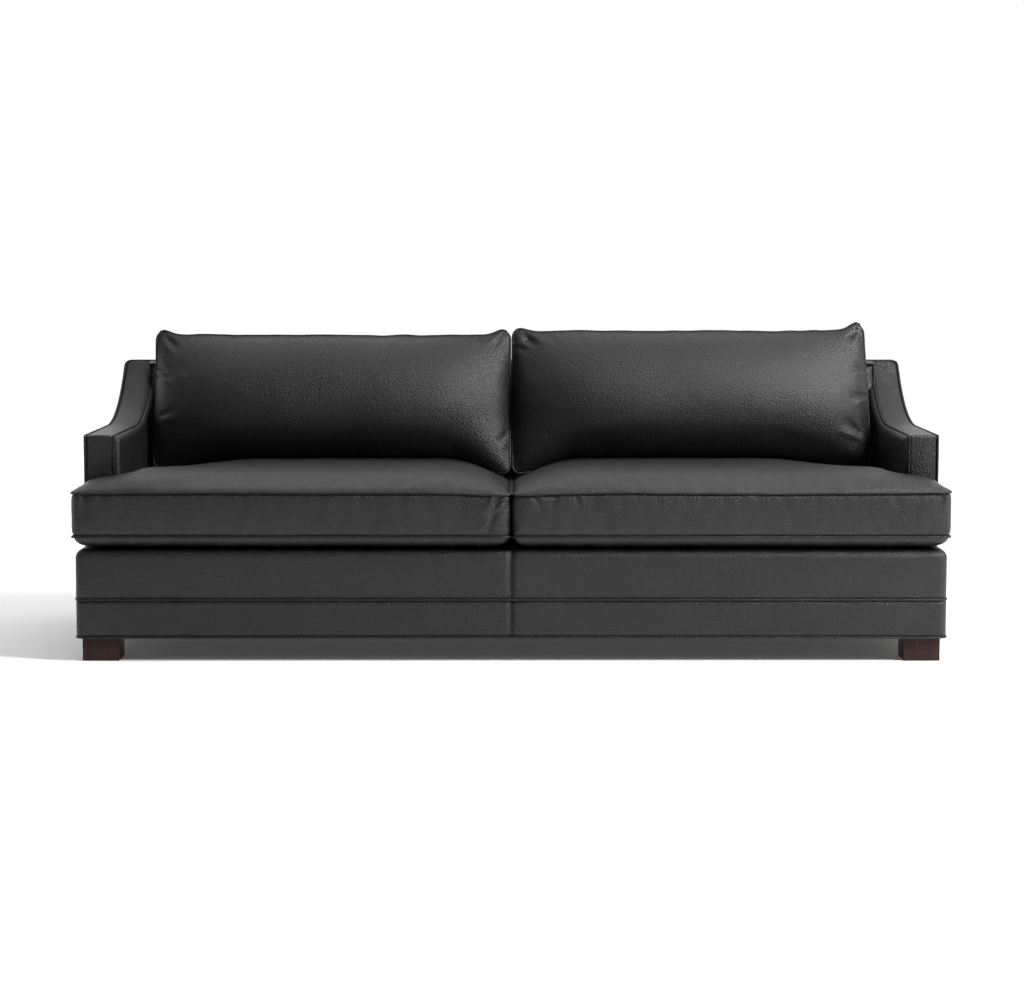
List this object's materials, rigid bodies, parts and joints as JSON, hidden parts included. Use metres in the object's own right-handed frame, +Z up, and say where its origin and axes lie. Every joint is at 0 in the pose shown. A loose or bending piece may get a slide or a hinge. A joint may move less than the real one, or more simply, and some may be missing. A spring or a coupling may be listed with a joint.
{
  "type": "slope arm sofa",
  "caption": "Slope-arm sofa in charcoal leather with T-shaped loose seat cushions, knife-edge back cushions, welted seams and an upholstered base on square block legs.",
  "frame": {"origin": "on the floor under the middle of the sofa", "axes": "+X to the right as seen from the front, +Y to the back, +Z up"},
  "size_m": [2.4396, 1.0013, 0.9187],
  "materials": {
    "leather": "satin",
    "leg_wood": "satin",
    "frame_wood": "matte",
    "plywood": "matte",
    "bolt_steel": "satin",
    "spring_steel": "satin",
    "webbing": "matte",
    "deck_cloth": "matte",
    "dust_cloth": "matte",
    "foam": "matte",
    "zip_tape": "matte",
    "zip_metal": "satin"
  },
  "bodies": {
    "frame": {"arm_boxing_left": "leather", "arm_boxing_right": "leather", "arm_inner_cover_left": "leather", "arm_inner_cover_right": "leather", "arm_inner_panel_left": "plywood", "arm_inner_panel_right": "plywood", "arm_outer_cover_left": "leather", "arm_outer_cover_right": "leather", "arm_outer_panel_left": "plywood", "arm_outer_panel_right": "plywood", "arm_spacers_left": "frame_wood", "arm_spacers_right": "frame_wood", "back_center_post": "frame_wood", "back_leg_left": "leg_wood", "back_leg_right": "leg_wood", "back_post_left": "frame_wood", "back_post_right": "frame_wood", "back_rail": "frame_wood", "back_top_boxing": "leather", "back_top_rail": "frame_wood", "back_webbing": "webbing", "base_band_left": "leather", "base_band_right": "leather", "base_welts": "leather", "corner_blocks": "frame_wood", "dust_cover": "dust_cloth", "front_cover_left": "leather", "front_cover_right": "leather", "front_edge_roll": "foam", "front_leg_left": "leg_wood", "front_leg_right": "leg_wood", "front_rail": "frame_wood", "inner_frame_welt": "leather", "inside_back_cover": "leather", "leg_bolts": "bolt_steel", "outer_frame_welt": "leather", "outside_back_cover": "leather", "rear_spring_rail": "frame_wood", "seat_deck": "deck_cloth", "seat_springs": "spring_steel", "seat_stretchers": "frame_wood", "side_rail_left": "frame_wood", "side_rail_right": "frame_wood", "spring_clips": "spring_steel"},
    "seat_cushion_left": {"seat_cushion_core_left": "foam", "seat_cushion_cover_left": "leather", "seat_cushion_welts_left": "leather", "seat_zip_left": "zip_tape"},
    "seat_cushion_right": {"seat_cushion_core_right": "foam", "seat_cushion_cover_right": "leather", "seat_cushion_welts_right": "leather", "seat_zip_right": "zip_tape"},
    "zip_slider_left": {"seat_zip_slider_left": "zip_metal"},
    "zip_slider_right": {"seat_zip_slider_right": "zip_metal"},
    "back_cushion_left": {"back_cushion_cover_left": "leather", "back_cushion_fill_left": "foam", "back_cushion_welt_left": "leather"},
    "back_cushion_right": {"back_cushion_cover_right": "leather", "back_cushion_fill_right": "foam", "back_cushion_welt_right": "leather"}
  },
  "joints": [
    {"name": "seat_left_pull", "type": "slide", "parent": "frame", "child": "seat_cushion_left", "axis": [0, -1, 0], "range_m": [0, 0.85]},
    {"name": "back_left_lift", "type": "slide", "parent": "frame", "child": "back_cushion_left", "axis": [0, 0.2419, 0.9703], "range_m": [0, 0.42]},
    {"name": "zip_left_slide", "type": "slide", "parent": "seat_cushion_left", "child": "zip_slider_left", "axis": [1, 0, 0], "range_m": [0, 0.57]},
    {"name": "seat_right_pull", "type": "slide", "parent": "frame", "child": "seat_cushion_right", "axis": [0, -1, 0], "range_m": [0, 0.85]},
    {"name": "back_right_lift", "type": "slide", "parent": "frame", "child": "back_cushion_right", "axis": [0, 0.2419, 0.9703], "range_m": [0, 0.42]},
    {"name": "zip_right_slide", "type": "slide", "parent": "seat_cushion_right", "child": "zip_slider_right", "axis": [-1, 0, 0], "range_m": [0, 0.57]}
  ]
}
